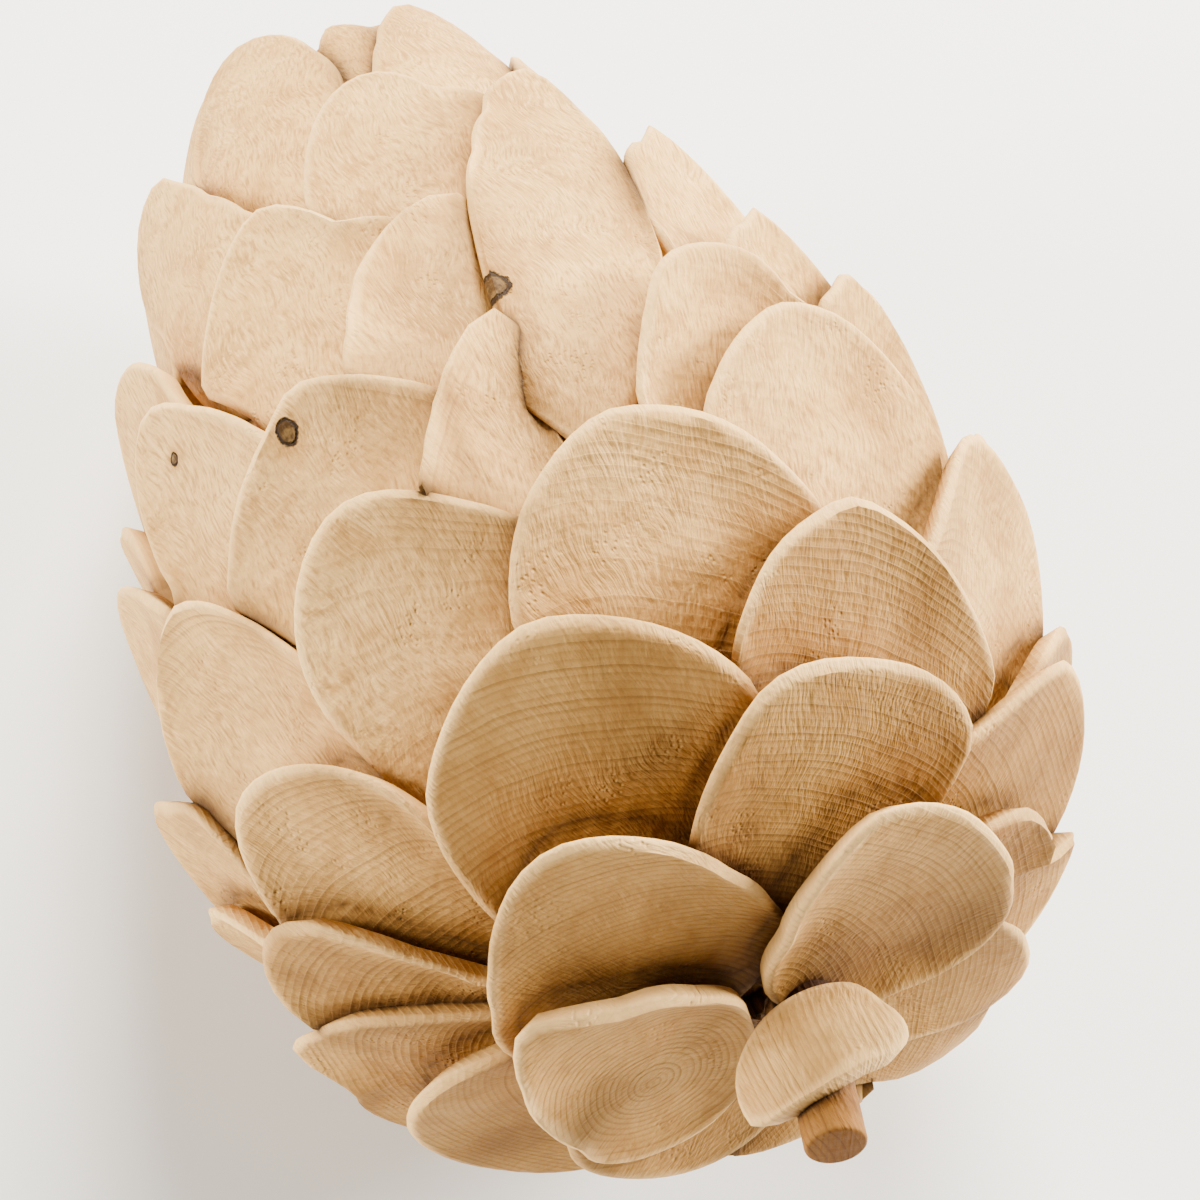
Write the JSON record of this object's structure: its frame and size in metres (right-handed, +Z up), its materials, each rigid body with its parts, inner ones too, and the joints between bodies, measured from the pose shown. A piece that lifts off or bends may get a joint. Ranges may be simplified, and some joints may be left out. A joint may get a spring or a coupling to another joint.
{
  "type": "carved wooden stone pine cone",
  "caption": "Closed pine cone carved in wood, lying on its side, with overlapping dished scales in spirals and a short cut stem.",
  "frame": {"origin": "on the surface that the cone lies on, below the middle of its bounding box", "axes": "+Y runs from the stem end towards the tip, +Z is up, +X is to the right seen from the stem end"},
  "size_m": [0.1526, 0.2692, 0.1545],
  "materials": {
    "wood": "bare carved stone pine wood, matt, with tool marks"
  },
  "bodies": {
    "root": {"cone": "wood"}
  },
  "joints": []
}
